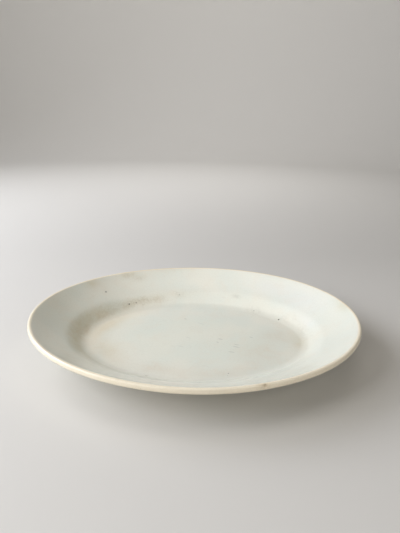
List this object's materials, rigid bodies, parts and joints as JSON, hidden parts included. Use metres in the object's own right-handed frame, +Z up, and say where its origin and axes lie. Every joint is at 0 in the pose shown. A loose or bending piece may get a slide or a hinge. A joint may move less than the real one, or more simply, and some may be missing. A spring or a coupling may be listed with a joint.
{
  "type": "oval serving platter",
  "caption": "Oval serving platter of thick white glazed ironstone, with a coved well, a broad sloping rim, a rolled lip and a low foot ring. Empty, and stained from use.",
  "frame": {"origin": "middle of the foot ring's lowest face, which is the face that the platter stands on", "axes": "+X along the platter's length, +Y across its width, +Z up"},
  "size_m": [0.356, 0.265, 0.0436],
  "materials": {
    "glaze": "old creamy white lead glaze over thick earthenware, softly glossy, finely crazed, with tea-brown stains and iron specks"
  },
  "bodies": {
    "root": {"platter": "glaze"}
  },
  "joints": []
}
